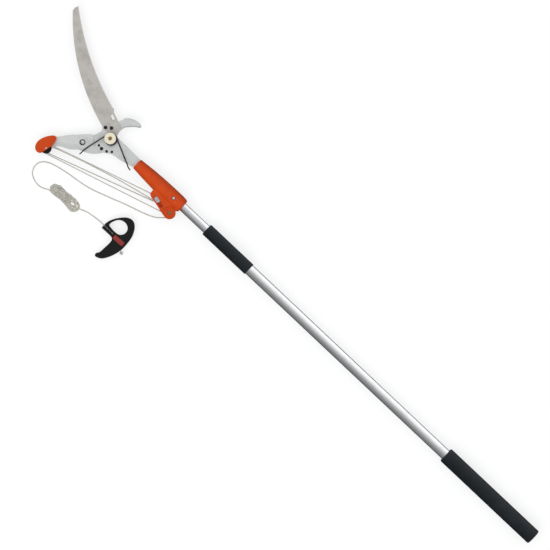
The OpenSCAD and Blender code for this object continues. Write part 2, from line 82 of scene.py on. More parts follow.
def head(x, y, z=0.0):
    """Metres in the row frame from millimetres measured from the lever's pivot."""
    return Vector((PIVOT_X + x * MM, y * MM, z * MM))


# ---------------------------------------------------------------- camera and light

scene = bpy.context.scene
camera_data = bpy.data.cameras.new("camera")
camera = bpy.data.objects.new("camera", camera_data)
scene.collection.objects.link(camera)
scene.camera = camera
RIGHT = Vector((-0.7277, -0.6859, 0.0)).normalized()
UP = Vector((0.6859, -0.7277, 0.0)).normalized()
BACK = RIGHT.cross(UP)
DISTANCE = 12.0
VIEW_WIDTH = 1.485
CENTRE = Vector((0.994, -0.037, 0.0))
camera_data.sensor_width = 36.0
camera_data.lens = camera_data.sensor_width * DISTANCE / VIEW_WIDTH
camera_data.clip_end = 60.0
camera_turn = Matrix((RIGHT, UP, BACK)).transposed().to_4x4()
camera.matrix_world = Matrix.Translation(CENTRE + BACK * DISTANCE) @ camera_turn

KEY_PLACE = Vector((0.7, 4.6, 6.0))
KEY_TARGET = Vector((1.0, 0.0, 0.0))
key_data = bpy.data.lights.new("key", "AREA")
key_data.energy = 150
key_data.size = 4.6
key_light = bpy.data.objects.new("key", key_data)
scene.collection.objects.link(key_light)
key_turn = (KEY_TARGET - KEY_PLACE).to_track_quat("-Z", "Y").to_matrix().to_4x4()
key_light.matrix_world = Matrix.Translation(KEY_PLACE) @ key_turn
key_light.visible_glossy = False
scene.view_settings.view_transform = "Standard"
scene.view_settings.look = "None"


# ---------------------------------------------------------------- materials

def shader(name, colour, rough, metal=0.0, spec=0.5):
    """A material with a Principled shader, its node tree and the shader's node."""
    mat = bpy.data.materials.new(name)
    mat.use_nodes = True
    tree = mat.node_tree
    main = tree.nodes["Principled BSDF"]
    main.inputs["Base Color"].default_value = (*colour, 1)
    main.inputs["Roughness"].default_value = rough
    main.inputs["Metallic"].default_value = metal
    main.inputs["Specular IOR Level"].default_value = spec
    return mat, tree, main


def node(tree, kind, **values):
    """A new shader node with some of its settings or inputs given."""
    n = tree.nodes.new(kind)
    for key, value in values.items():
        if hasattr(n, key):
            setattr(n, key, value)
        else:
            n.inputs[key.replace("_", " ")].default_value = value
    return n


def coords(tree, scale=(1, 1, 1), turn=0.0):
    """Row-frame coordinates in metres, stretched by scale after a turn about Z in degrees."""
    place = node(tree, "ShaderNodeTexCoord")
    mapping = node(tree, "ShaderNodeMapping")
    mapping.inputs["Rotation"].default_value = (0, 0, math.radians(turn))
    mapping.inputs["Scale"].default_value = scale
    tree.links.new(place.outputs["Object"], mapping.inputs["Vector"])
    return mapping.outputs["Vector"]


def noise(tree, vector, scale, detail=3.0, rough=0.55):
    """Noise from 0 to 1 over a vector."""
    n = node(tree, "ShaderNodeTexNoise", Scale=scale, Detail=detail, Roughness=rough)
    tree.links.new(vector, n.inputs["Vector"])
    return n.outputs["Fac"]


def ramp(tree, fac, stops):
    """Colour ramp through (position, colour) stops."""
    n = node(tree, "ShaderNodeValToRGB")
    while len(n.color_ramp.elements) < len(stops):
        n.color_ramp.elements.new(0.5)
    for element, (at, colour) in zip(n.color_ramp.elements, stops):
        element.position = at
        element.color = (*colour, 1)
    tree.links.new(fac, n.inputs["Fac"])
    return n.outputs["Color"]


def spread(tree, fac, low, high, lo=0.3, hi=0.7):
    """A value from lo to hi stretched to run from low to high."""
    n = node(tree, "ShaderNodeMapRange")
    n.inputs["From Min"].default_value = lo
    n.inputs["From Max"].default_value = hi
    n.inputs["To Min"].default_value = low
    n.inputs["To Max"].default_value = high
    tree.links.new(fac, n.inputs["Value"])
    return n.outputs["Result"]


def bump(tree, main, fac, strength, depth):
    """Small relief from fac, depth in metres."""
    n = node(tree, "ShaderNodeBump", Strength=strength, Distance=depth)
    tree.links.new(fac, n.inputs["Height"])
    tree.links.new(n.outputs["Normal"], main.inputs["Normal"])


def tint(colour, k):
    """A colour made k times as bright, up to full."""
    return tuple(min(1.0, c * k) for c in colour)


def mixed(tree, fac, a, b):
    """Two colour outputs mixed by fac."""
    n = node(tree, "ShaderNodeMix", data_type="RGBA")
    tree.links.new(fac, n.inputs["Factor"])
    tree.links.new(a, n.inputs[6])
    tree.links.new(b, n.inputs[7])
    return n.outputs[2]


def worn_edges(tree):
    """1 on outward edges, 0 elsewhere."""
    geometry = node(tree, "ShaderNodeNewGeometry")
    return spread(tree, geometry.outputs["Pointiness"], 0.0, 1.0, 0.53, 0.6)


def brushed(name, colour, rough, scale, turn=0.0, metal=1.0, vary=0.12, stains=0.1, depth=0.00001):
    """Metal brushed along its own X after a turn in degrees; scale sets how fine."""
    mat, tree, main = shader(name, colour, rough, metal)
    lines = noise(tree, coords(tree, (4, scale, scale), turn), 1.0, 5.0, 0.65)
    clouds = noise(tree, coords(tree), 38.0, 4.0)
    fine = ramp(tree, lines, [(0.3, tint(colour, 1 - vary)), (0.7, tint(colour, 1 + vary))])
    dull = ramp(tree, lines, [(0.3, tint(colour, 1 - vary - stains)), (0.7, tint(colour, 1 - stains))])
    mask = spread(tree, clouds, 0, 1, 0.45, 0.68)
    tree.links.new(mixed(tree, mask, fine, dull), main.inputs["Base Color"])
    tree.links.new(spread(tree, clouds, rough - 0.06, rough + 0.1), main.inputs["Roughness"])
    bump(tree, main, lines, 0.35, depth)
    return mat


def moulded(name, colour, rough, grain=900.0, depth=0.00003, vary=0.08, wear=0.25, edge=1.35, spec=0.5):
    """Moulded plastic: fine grain, faint flow marks, scuffs and rubbed edges."""
    mat, tree, main = shader(name, colour, rough, spec=spec)
    flow = noise(tree, coords(tree, (1, 1, 1)), 26.0, 4.0)
    scuff = noise(tree, coords(tree, (1, 3.5, 1), 35), 160.0, 8.0, 0.7)
    body = ramp(tree, flow, [(0.3, tint(colour, 1 - vary)), (0.7, tint(colour, 1 + vary))])
    pale = tuple(min(1.0, c * edge + 0.01) for c in colour)
    rubbed = ramp(tree, flow, [(0.3, tint(pale, 0.9)), (0.7, pale)])
    mask = node(tree, "ShaderNodeMath", operation="MULTIPLY")
    tree.links.new(worn_edges(tree), mask.inputs[0])
    tree.links.new(spread(tree, scuff, 0.0, wear * 2, 0.42, 0.62), mask.inputs[1])
    tree.links.new(mixed(tree, mask.outputs[0], body, rubbed), main.inputs["Base Color"])
    tree.links.new(spread(tree, scuff, rough - 0.05, rough + 0.14), main.inputs["Roughness"])
    bump(tree, main, noise(tree, coords(tree), grain, 3.0), 0.4, depth)
    return mat


def brightness(tree, part, stops, tone=(1.0, 1.0, 1.0)):
    """Brightness over one part of a direction, through (place from -1 to 1, brightness) stops."""
    colours = [((at + 1) / 2, tuple(c * k for c in tone)) for at, k in stops]
    return ramp(tree, spread(tree, part, 0, 1, -1, 1), colours)


# Sky for matt surfaces, from below to overhead
OVERHEAD = [(-1.0, 0.12), (0.0, 0.2), (0.5, 0.7), (1.0, 1.1)]
SKY_TONE = (0.97, 0.985, 1.0)
# Room that metal mirrors: its brightness from below to overhead, and from the -Y side to the +Y side
ROOM_HEIGHT = [(-1.0, 0.02), (-0.64, 0.02), (-0.42, 0.82), (0.0, 1.0), (0.6, 0.9), (1.0, 0.68)]
ROOM_SIDES = [(-1.0, 1.0), (-0.7, 0.96), (-0.39, 0.87), (0.0, 0.63), (0.39, 0.42), (0.73, 0.27), (1.0, 0.15)]
ROOM_STRENGTH = 1.3


def studio_world():
    """Soft light from overhead for matt surfaces; metal sees a soft box on its -Y side, dusk on the
    other and a dark room below the horizon."""
    world = bpy.data.worlds.new("studio")
    scene.world = world
    world.use_nodes = True
    tree = world.node_tree
    sky = tree.nodes["Background"]
    sky.inputs["Strength"].default_value = 1.0
    way = node(tree, "ShaderNodeTexCoord")
    parts = node(tree, "ShaderNodeSeparateXYZ")
    tree.links.new(way.outputs["Generated"], parts.inputs["Vector"])
    tree.links.new(brightness(tree, parts.outputs["Z"], OVERHEAD, SKY_TONE), sky.inputs["Color"])
    both = node(tree, "ShaderNodeMix", data_type="RGBA", blend_type="MULTIPLY", Factor=1.0)
    tree.links.new(brightness(tree, parts.outputs["Z"], ROOM_HEIGHT), both.inputs[6])
    tree.links.new(brightness(tree, parts.outputs["Y"], ROOM_SIDES), both.inputs[7])
    room = node(tree, "ShaderNodeBackground", Strength=ROOM_STRENGTH)
    tree.links.new(both.outputs[2], room.inputs["Color"])
    seen = node(tree, "ShaderNodeLightPath")
    choice = node(tree, "ShaderNodeMixShader")
    tree.links.new(seen.outputs["Is Glossy Ray"], choice.inputs["Fac"])
    tree.links.new(sky.outputs["Background"], choice.inputs[1])
    tree.links.new(room.outputs["Background"], choice.inputs[2])
    tree.links.new(choice.outputs["Shader"], tree.nodes["World Output"].inputs["Surface"])


studio_world()

aluminium = brushed("aluminium", (0.86, 0.87, 0.885), 0.26, 900, vary=0.07, stains=0.05, depth=0.000006)
plate = brushed("plate_steel", (0.75, 0.77, 0.75), 0.42, 1300, turn=30, metal=0.6, vary=0.08, stains=0.08)
saw_steel = brushed("saw_steel", (0.685, 0.65, 0.605), 0.4, 1500, turn=-35, metal=0.7, vary=0.1,
                    stains=0.12)
black_steel = moulded("black_steel", (0.01, 0.011, 0.012), 0.3, grain=1400, depth=0.00001, vary=0.2,
                      wear=0.6, edge=6.0, spec=0.35)
zinc = brushed("zinc", (0.75, 0.75, 0.76), 0.3, 700)
brass_zinc = brushed("yellow_zinc", (0.36, 0.225, 0.11), 0.36, 700, metal=0.9)
orange = moulded("orange_plastic", (0.6, 0.062, 0.006), 0.36, grain=700, depth=0.00002, vary=0.1,
                 wear=0.3, edge=1.25, spec=0.15)
grip_black = moulded("grip_black", (0.009, 0.012, 0.0155), 0.5, grain=1600, depth=0.00005, vary=0.25,
                     wear=0.5, edge=3.0, spec=0.25)
black_plastic = moulded("black_plastic", (0.007, 0.007, 0.008), 0.42, grain=1100, depth=0.00004, vary=0.2,
                        wear=0.5, edge=3.0, spec=0.2)
cream = moulded("cream_plastic", (0.86, 0.8, 0.62), 0.4, depth=0.00001, vary=0.05, wear=0.5, edge=1.1)
red = moulded("red_plastic", (0.26, 0.03, 0.025), 0.38, depth=0.00002, vary=0.12, wear=0.4, edge=1.5,
              spec=0.3)
nylon = moulded("natural_nylon", (0.7, 0.69, 0.63), 0.45, depth=0.00002, vary=0.05, wear=0.3, edge=1.1)


def rope_material():
    """Pale braided cord, a little soiled in places."""
    colour = (0.56, 0.54, 0.47)
    mat, tree, main = shader("braided_rope", colour, 0.75)
    main.inputs["Sheen Weight"].default_value = 0.25
    fibre = noise(tree, coords(tree), 2600.0, 4.0, 0.7)
    soil = noise(tree, coords(tree), 60.0, 3.0)
    light = ramp(tree, fibre, [(0.3, tint(colour, 0.8)), (0.7, tint(colour, 1.15))])
    dark = ramp(tree, fibre, [(0.3, tint(colour, 0.6)), (0.7, tint(colour, 0.9))])
    tree.links.new(mixed(tree, spread(tree, soil, 0, 1, 0.5, 0.75), light, dark), main.inputs["Base Color"])
    bump(tree, main, fibre, 0.5, 0.0001)
    return mat


rope = rope_material()

SLOT_OF = {
    "satin_aluminium": aluminium, "grip_black": grip_black, "black_plastic": black_plastic,
    "natural_nylon": nylon, "orange_plastic": orange, "plate_steel": plate, "saw_steel": saw_steel,
    "blackened_steel": black_steel, "zinc_steel": zinc, "yellow_zinc_steel": brass_zinc,
    "cream_plastic": cream, "braided_rope": rope, "red_plastic": red,
}
slot_name = {s["node"]: s["material_slot"] for s in frame["record"]["subparts"]}


# ---------------------------------------------------------------- mesh helpers

def make_object(name, mesh, body, mat, replaces):
    """An object that rides on a body, or on none yet, and stands for CAD nodes."""
    obj = bpy.data.objects.new(name, mesh)
    scene.collection.objects.link(obj)
    mesh.materials.clear()
    mesh.materials.append(mat)
    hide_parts(*replaces)
    if body:
        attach(obj, body)
    return obj


def smooth_mesh(mesh, angle):
    """Smooth shading but for edges sharper than angle."""
    for p in mesh.polygons:
        p.use_smooth = True
    mesh.set_sharp_from_angle(angle=math.radians(angle))


def mesh_from(bm, name, angle):
    """bm as a finished mesh, smooth but for edges sharper than angle."""
    mesh = bpy.data.meshes.new(name)
    bm.to_mesh(mesh)
    bm.free()
    smooth_mesh(mesh, angle)
    return mesh


def stand_in(node_name, mesh, mat=None, stem=""):
    """An object that takes a CAD node's place, on its body and in its material slot."""
    slot = slot_name[node_name]
    body = frame["nodes"][node_name]["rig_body"]
    return make_object(node_name + stem + "_made", mesh, body, mat or SLOT_OF[slot], (node_name,))


def sharp_edges(bm, angle):
    """Edges between two faces that turn by more than angle."""
    return [e for e in bm.edges if len(e.link_faces) == 2 and e.calc_face_angle(0) > math.radians(angle)]


def break_edges(bm, edges, width, **more):
    """Gives edges a small round, width in mm."""
    bmesh.ops.bevel(bm, geom=edges, offset=width * MM, segments=2, profile=0.6, affect="EDGES",
                    clamp_overlap=True, **more)


def resampled(points, step):
    """Points evenly spaced along a path of 3-D points."""
    p = np.array([tuple(q) for q in points])
    along = np.concatenate([[0], np.cumsum(np.linalg.norm(np.diff(p, axis=0), axis=1))])
    n = max(2, int(round(along[-1] / step)) + 1)
    at = np.linspace(0, along[-1], n)
    return np.stack([np.interp(at, along, p[:, i]) for i in range(3)], axis=1)


def curve_through(points, m):
    """Smooth curve through given points, m steps from each to the next."""
    p = [Vector(q) for q in points]
    out = []
    for i in range(len(p) - 1):
        a, b, c, d = p[max(i - 1, 0)], p[i], p[i + 1], p[min(i + 2, len(p) - 1)]
        for k in range(m):
            t = k / m
            out.append(0.5 * (2 * b + (c - a) * t + (2 * a - 5 * b + 4 * c - d) * t * t
                              + (3 * b - a - 3 * c + d) * t ** 3))
    out.append(p[-1])
    return out


def tube_mesh(name, line, radius, sides, radius_at=None):
    """Closed tube along line; radius_at(ring, side) scales the radius."""
    p = np.asarray(line)
    t = np.gradient(p, axis=0)
    t /= np.linalg.norm(t, axis=1)[:, None]
    side = np.cross(t[0], (0, 0, 1.0))
    if np.linalg.norm(side) < 0.1:
        side = np.cross(t[0], (1.0, 0, 0))
    side /= np.linalg.norm(side)
    verts = []
    for i in range(len(p)):
        side = side - t[i] * np.dot(side, t[i])
        side /= np.linalg.norm(side)
        up = np.cross(side, t[i])
        for k in range(sides):
            a = 2 * math.pi * k / sides
            r = radius * (radius_at(i, k) if radius_at else 1.0)
            verts.append(p[i] + r * (math.cos(a) * side + math.sin(a) * up))
    faces = []
    for i in range(len(p) - 1):
        this, following = i * sides, (i + 1) * sides
        for k in range(sides):
            beside = (k + 1) % sides
            faces.append((this + k, this + beside, following + beside, following + k))
    faces.append(tuple(range(sides - 1, -1, -1)))
    faces.append(tuple((len(p) - 1) * sides + k for k in range(sides)))
    mesh = bpy.data.meshes.new(name)
    mesh.from_pydata([tuple(v) for v in verts], [], faces)
    mesh.update()
    smooth_mesh(mesh, 60)
    return mesh


def refined(node_name, width):
    """A copy of a CAD node with its edges broken by a small round, standing for that node."""
    bm = bmesh.new()
    bm.from_mesh(frame["nodes"][node_name].data)
    bmesh.ops.remove_doubles(bm, verts=bm.verts, dist=0.00001)
    bmesh.ops.dissolve_limit(bm, angle_limit=math.radians(0.6), verts=bm.verts, edges=bm.edges)
    sharp = sharp_edges(bm, 30)
    if sharp:
        break_edges(bm, sharp, width, miter_outer="ARC")
    return stand_in(node_name, mesh_from(bm, node_name + "_made", 28))


# ---------------------------------------------------------------- free rope, hank and knot

# The free rope from the rear sheave to the hank, then from the hank through the handle to the end
# knot, in mm from the pivot
PULL_ROUTE = [
    (-254, 53.3, -5), (-247, 60.4, -6.5), (-237, 69, -12), (-225, 76, -18),
    (-211, 82, -20.5), (-194, 88, -20.5), (-168, 96, -20.5), (-143, 104, -20.5), (-119, 113, -20.5),
    (-96, 121, -20.5), (-76, 128, -20.5), (-57, 134, -20.5), (-36, 139, -20.5), (-12, 143, -20.5),
    (12, 146, -20.5), (36, 150, -20.5), (58, 155, -20.5), (76, 161, -20.5), (90, 170, -20.5),
    (98, 183, -20.5), (98, 198, -20.5), (91, 212, -20.5), (77, 221, -20.5), (60, 225, -20.5),
    (46, 223.5, -20.5), (34, 218.5, -20.5),
]
HANDLE_ROUTE = [
    (-84, 189.5, -20.5), (-99, 186, -20.5), (-116, 183.5, -19.5),
    (-133, 182, -16.5), (-148, 182, -15), (-167, 182, -15), (-186, 183, -15),
    (-201, 186, -15), (-215, 193, -15), (-229.3, 203, -15),
]
ROPE_D = 3.0
# Heights of the rope's centre line on the ground and on top of the hank
LOW_Z = -20.5
TOP_Z = -16.2

# Each turn of the hank: the fold at the near end, the waist of the run out, the fold at the
# far end and the waist of the run back. A fold is radius, sideways shift and how far in it lies.
HANK_TURNS = [
    ((10.8, 0.0, 0), -9.6, (13.6, -1.0, 0), 9.4, -20.5),
    ((9.0, 0.0, 2), -6.6, (10.6, -1.4, 0), 6.6, -20.5),
    ((9.0, 1.0, 7), -3.6, (9.0, 3.6, 5), 8.2, -20.2),
    ((9.0, -1.2, 1), -8.0, (9.0, -4.2, -1), 3.6, -18.4),
    ((9.0, 1.2, 11), -0.8, (12.0, 0.6, 1), 5.4, -18.4),
    ((9.0, -1.2, 15), -5.2, (9.2, -1.6, 22), 0.8, -18.4),
    ((9.0, 0.8, 5), -6.8, (9.0, 4.4, 6), 8.2, -16.6),
    ((9.0, 0.0, 19), -2.2, (9.2, 0.6, 28), 2.2, -16.5),
    ((9.0, -0.8, 9), -8.4, (10.4, 1.6, 2), 5.0, -16.4),
]


def hank_path():
    """Turns of rope folded round two ends, in millimetres from the pivot."""
    near, far = np.array((22.5, 201.0)), np.array((-54.0, 199.0))
    run = np.linalg.norm(far - near)
    u = (far - near) / run
    v = np.array((-u[1], u[0]))
    out = []

    def put(along, side, z):
        out.append((*(near + u * along + v * side), z))

    def fold(at, side, radius, a0, a1, z):
        steps = 7
        for i in range(steps + 1):
            a = math.radians(a0 + (a1 - a0) * i / steps)
            put(at + radius * math.cos(a), side + radius * math.sin(a), z)

    def straight(x0, x1, v0, v1, waist, z0, z1):
        for t in (0.2, 0.4, 0.6, 0.8):
            dip = (waist - (v0 + v1) / 2) * math.sin(math.pi * t) ** 2
            put(x0 + (x1 - x0) * t, v0 + (v1 - v0) * t + dip, z0 + (z1 - z0) * t)

    for k, ((r0, w0, in0), waist_a, (r1, w1, in1), waist_b, z) in enumerate(HANK_TURNS):
        x0, x1 = in0, run - in1
        if k:
            fold(x0, w0, r0, 90, 270, z)
        else:
            put(x0, w0 - r0, z)
        straight(x0, x1, w0 - r0, w1 - r1, waist_a, z, z)
        if k + 1 < len(HANK_TURNS):
            fold(x1, w1, r1, -90, 90, z)
            (r2, w2, in2), z2 = HANK_TURNS[k + 1][0], HANK_TURNS[k + 1][4]
            straight(x1, in2, w1 + r1, w2 + r2, waist_b, z, z2)
    return out


# How the hank settles: the distance at which strands touch, the radius that a bend is opened to
# and the number of rounds
CONTACT = 0.94 * ROPE_D
LEAST_BEND = 10.0
ROUNDS = 200


def parted(p, first, second):
    """The move that pushes strands apart where the points of a pair lie in each other."""
    gap = p[first] - p[second]
    near = np.abs(gap).max(axis=1) < CONTACT
    a, b, gap = first[near], second[near], gap[near]
    far = np.linalg.norm(gap, axis=1)
    close = far < CONTACT
    a, b, gap, far = a[close], b[close], gap[close], far[close]
    push = gap * ((CONTACT - far) / np.maximum(far, 0.3))[:, None] * 0.45
    move, count = np.zeros_like(p), np.ones(len(p))
    np.add.at(move, a, push)
    np.add.at(move, b, -push)
    np.add.at(count, a, 1)
    np.add.at(count, b, 1)
    return move / np.maximum(count - 1, 1)[:, None]


def evened(p, step):
    """The move that brings each point nearer to an even distance of step from the next."""
    d = np.diff(p, axis=0)
    length = np.linalg.norm(d, axis=1)
    pull = d * ((length - step) / length * 0.25)[:, None]
    shift = np.zeros_like(p)
    shift[:-1] += pull
    shift[1:] -= pull
    return shift


def opened(p, most):
    """The move that opens bends where a point stands out by more than most."""
    bow = np.zeros_like(p)
    bow[1:-1] = (p[:-2] + p[2:]) / 2 - p[1:-1]
    size = np.linalg.norm(bow, axis=1, keepdims=True)
    return bow * np.maximum(0, size - most) / np.maximum(size, 1e-6) * 0.8


def smoothed(p):
    """The move that takes out kinks."""
    soft = np.zeros_like(p)
    soft[2:-2] = (-p[:-4] + 4 * p[1:-3] + 4 * p[3:-1] - p[4:]) / 6 - p[2:-2]
    return soft * 0.5


def settled(points):
    """Rope points moved apart where they lie in each other, kept on the ground, evenly spaced and smooth.

    The three points at each end stay."""
    p = points.copy()
    step = np.linalg.norm(np.diff(p, axis=0), axis=1).mean()
    free = np.ones((len(p), 1))
    free[:3] = free[-3:] = 0
    first, second = np.triu_indices(len(p), int(math.ceil(ROPE_D * 1.6 / step)))
    for _ in range(ROUNDS):
        p += parted(p, first, second) * free
        for _ in range(4):
            p += evened(p, step) * free
        p += opened(p, step * step / (2 * LEAST_BEND)) * free
        p += smoothed(p) * free
        p[:, 2] = np.clip(p[:, 2] - 0.02 * free[:, 0], LOW_Z, TOP_Z)
    return p


# Strands that wind each way, the length of one turn in mm and the relief as a share of the radius
BRAID_STRANDS = 4
BRAID_PITCH = 9.0
BRAID_DEPTH = 0.07


def braid(sides, step):
    """Radius of a braided rope with a ring every step mm: two sets of strands cross."""
    def at(i, k):
        a = 2 * math.pi * k / sides
        w = 2 * math.pi * i * step / BRAID_PITCH
        crest = max(math.cos(BRAID_STRANDS * (a + w)), math.cos(BRAID_STRANDS * (a - w)))
        return 1.0 - BRAID_DEPTH + BRAID_DEPTH * crest
    return at


ROPE_STEP = 0.9


def rope_line(points, m):
    """Rope's centre line in metres, a point every ROPE_STEP mm, through points in mm from the pivot."""
    return resampled([head(*p) for p in curve_through(points, m)], ROPE_STEP * MM)


def rope_tube(name, line):
    """Braided tube of the rope's diameter."""
    return tube_mesh(name, line, ROPE_D / 2 * MM, 14, braid(14, ROPE_STEP))


lead_in = [tuple(p) for p in curve_through(PULL_ROUTE + [hank_path()[0]], 10)]
hank_line = [tuple(p) for p in curve_through(hank_path(), 6)]
lead_out = [tuple(p) for p in curve_through([hank_path()[-1]] + HANDLE_ROUTE, 10)]
rough = resampled(lead_in + hank_line[1:] + lead_out[1:], 2.0)
hank_starts = int(np.argmin(np.linalg.norm(rough - np.array(PULL_ROUTE[-2]), axis=1)))
hank_stops = int(np.argmin(np.linalg.norm(rough - np.array(HANDLE_ROUTE[1]), axis=1)))
rope_points = rough.copy()
rope_points[hank_starts:hank_stops] = settled(rough[hank_starts:hank_stops])
rope_points[:, 2] = np.maximum(rope_points[:, 2], LOW_Z)
free_line = rope_line(rope_points, 3)
free_rope = make_object("free_rope", rope_tube("free_rope", free_line), "head", rope,
                        ("pull_rope", "rope_hank", "handle_rope"))


def knot_mesh(name, centre, size):
    """A trefoil of rope about size mm from its middle to its strands, pulled up small."""
    line = []
    for i in range(97):
        t = 2 * math.pi * i / 96
        line.append(head(*centre) + MM * Vector((size / 3 * (math.sin(t) + 2 * math.sin(2 * t)),
                                                 size / 3 * (math.cos(t) - 2 * math.cos(2 * t)),
                                                 -1.45 * math.sin(3 * t))))
    return tube_mesh(name, resampled(line, 0.0005), ROPE_D / 2 * MM, 12, braid(12, 0.5))


knot = make_object("end_knot_made", knot_mesh("end_knot_made", (-233.4, 205.2, -15), 3.6), "head", rope,
                   ("end_knot",))


# ---------------------------------------------------------------- tackle rope and return spring

# Axles of the sheaves, in mm from the pivot
LEVER_AXLE = (108.2, 137.6)
FRONT_AXLE = (-205.0, 33.0)
REAR_AXLE = (-254.0, 37.0)
# Radius and height of the rope's centre line on each sheave
UPPER_R, UPPER_Z = 13, 4.15
LOWER_R, LOWER_Z = 10, -8.25
FRONT_R, FRONT_Z = 7, 4
REAR_R, REAR_Z = 11.6, -5
# How far a strand of the tackle hangs at its middle, in mm
SAG = 3


def arc(centre, radius, a0, a1, steps, z):
    """Points on a circle's arc at height z, from angle a0 to a1 in degrees."""
    out = []
    for i in range(steps + 1):
        a = math.radians(a0 + (a1 - a0) * i / steps)
        out.append((centre[0] + radius * math.cos(a), centre[1] + radius * math.sin(a), z))
    return out


def strand(a, b, bow):
    """A strand between two points that bows sideways and hangs a little."""
    a, b = np.array(a), np.array(b)
    way = b - a
    side = np.array((-way[1], way[0], 0)) / math.hypot(way[0], way[1])
    return [tuple(a + way * t + (side * bow - np.array((0, 0, SAG))) * 4 * t * (1 - t))
            for t in (0.1, 0.2, 0.3, 0.4, 0.5, 0.6, 0.7, 0.8, 0.9)]


def tackle_path():
    """The four-part tackle, from the fixed end in the housing to the way out of it."""
    upper = arc(LEVER_AXLE, UPPER_R, 106.6, -72.6, 20, UPPER_Z)
    front = arc(FRONT_AXLE, FRONT_R, -72.6, -254.5, 20, FRONT_Z)
    lower = arc(LEVER_AXLE, LOWER_R, -74.5, 108.8, 20, LOWER_Z)
    rear = arc(REAR_AXLE, REAR_R, -71.2, -225, 20, REAR_Z)
    start, out = (-243, 46.9, 4.5), (-254, 53.3, -5)
    return ([start] + strand(start, upper[0], 0) + upper + strand(upper[-1], front[0], 1) + front
            + strand(front[-1], lower[0], -6) + lower + strand(lower[-1], rear[0], 0) + rear + [out])


def blended(name, mesh, mat, nodes):
    """A piece that runs from the head to the lever, on no body, with its placement baked into its mesh."""
    obj = make_object(name, mesh, None, mat, nodes)
    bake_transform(obj)
    return obj


tackle_line = rope_line(tackle_path(), 4)
blended("tackle_rope_made", rope_tube("tackle_rope_made", tackle_line), rope,
        ("tackle_rope",))

# The spring's coil: where it starts and how far it rises, its radius and its wire's
COIL_LOW = 5.2
COIL_RISE = 8.208
COIL_R = 15.5
WIRE_R = 1.7


def spring_path():
    """Leg along the frame's neck, coil round the pivot, leg out to the lever's edge."""
    a0, a1 = 245.0, 344.5 + 2 * 360
    steps = 110
    coil = []
    for i in range(steps + 1):
        a = math.radians(a0 + (a1 - a0) * i / steps)
        coil.append((-3.5 + COIL_R * math.cos(a), COIL_R * math.sin(a), COIL_LOW + COIL_RISE * i / steps))
    top = COIL_LOW + COIL_RISE
    neck_leg = [(-97, 25, -3), (-93, 24.5, -1.5), (-88, 23.2, 1.5), (-83, 20.5, 3.6),
                (-55, 7.5, 3.6), (-28, -5.2, COIL_LOW)]
    lever_leg = [(17, 14, top - 1.5), (22, 34, top - 4), (27, 54, top - 8.6),
                 (30, 68, 3.15), (31, 78, 2.15), (31.5, 83, -2.5), (32, 87, -5.5)]
    return neck_leg + coil + lever_leg


spring_line = resampled([head(*p) for p in curve_through(spring_path(), 5)], 0.0012)
blended("return_spring_made", tube_mesh("return_spring_made", spring_line, WIRE_R * MM, 16), black_steel,
        ("return_spring",))


# ---------------------------------------------------------------- moulded pieces

def evaluated_mesh(obj):
    """A new mesh from obj with its modifiers applied."""
    graph = bpy.context.evaluated_depsgraph_get()
    graph.update()
    return bpy.data.meshes.new_from_object(obj.evaluated_get(graph))


def turned_bm(bm, profile, centre, axis="Z", sides=96):
    """Adds a closed solid of revolution from (radius, place) points in mm.

    A profile that starts on the axis ends on it; any other is closed on itself."""
    rings = []
    for r, at in profile:
        ring = []
        for k in range(1 if r == 0 else sides):
            a = 2 * math.pi * k / sides
            if axis == "Z":
                p = head(centre[0] + r * math.cos(a), centre[1] + r * math.sin(a), at)
            else:
                p = Vector((at * MM, r * math.cos(a) * MM, r * math.sin(a) * MM))
            ring.append(bm.verts.new(p))
        rings.append(ring)
    pairs = list(zip(rings, rings[1:]))
    if profile[0][0] != 0:
        pairs.append((rings[-1], rings[0]))
    for low, high in pairs:
        for k in range(sides):
            a, b = k, (k + 1) % sides
            if len(low) == 1:
                bm.faces.new((low[0], high[b], high[a]))
            elif len(high) == 1:
                bm.faces.new((low[a], low[b], high[0]))
            else:
                bm.faces.new((low[a], low[b], high[b], high[a]))


def turned_piece(node_name, profiles, mat=None, bevel=0.0, centre=(0, 0), axis="Z", sides=96, stem=""):
    """A lathe-turned piece for a CAD node, from one or more profiles of (radius, place) points."""
    bm = bmesh.new()
    for profile in profiles:
        turned_bm(bm, profile, centre, axis, sides)
    bmesh.ops.recalc_face_normals(bm, faces=bm.faces)
    if bevel:
        break_edges(bm, sharp_edges(bm, 25), bevel)
    return stand_in(node_name, mesh_from(bm, node_name + stem + "_made", 30), mat, stem)


def cast(node_name, voxel, smooth, extra=(), keep=0.35):
    """A moulded copy of a CAD node: its corners flow into each other, and extra profiles grow out of it."""
    bm = bmesh.new()
    bm.from_mesh(frame["nodes"][node_name].data)
    for profile, centre in extra:
        turned_bm(bm, profile, centre)
    bmesh.ops.remove_doubles(bm, verts=bm.verts, dist=0.000005)
    bmesh.ops.triangulate(bm, faces=bm.faces)
    if extra:
        bmesh.ops.recalc_face_normals(bm, faces=bm.faces)
    mesh = bpy.data.meshes.new("blank")
    bm.to_mesh(mesh)
    bm.free()
    blank = bpy.data.objects.new("blank", mesh)
    scene.collection.objects.link(blank)
    remesh = blank.modifiers.new("remesh", "REMESH")
    remesh.mode = "VOXEL"
    remesh.voxel_size = voxel * MM
    melt = blank.modifiers.new("melt", "SMOOTH")
    melt.factor = 0.5
    melt.iterations = smooth
    thin = blank.modifiers.new("thin", "DECIMATE")
    thin.ratio = keep
    made = evaluated_mesh(blank)
    made.name = node_name + "_made"
    bpy.data.objects.remove(blank)
    for p in made.polygons:
        p.use_smooth = True
    return stand_in(node_name, made)


def raised_ring(r0, r1, z, height):
    """Profile of a raised ring on a flat face."""
    return [(r0, z - 2), (r0, z + height), (r1, z + height), (r1, z - 2)]


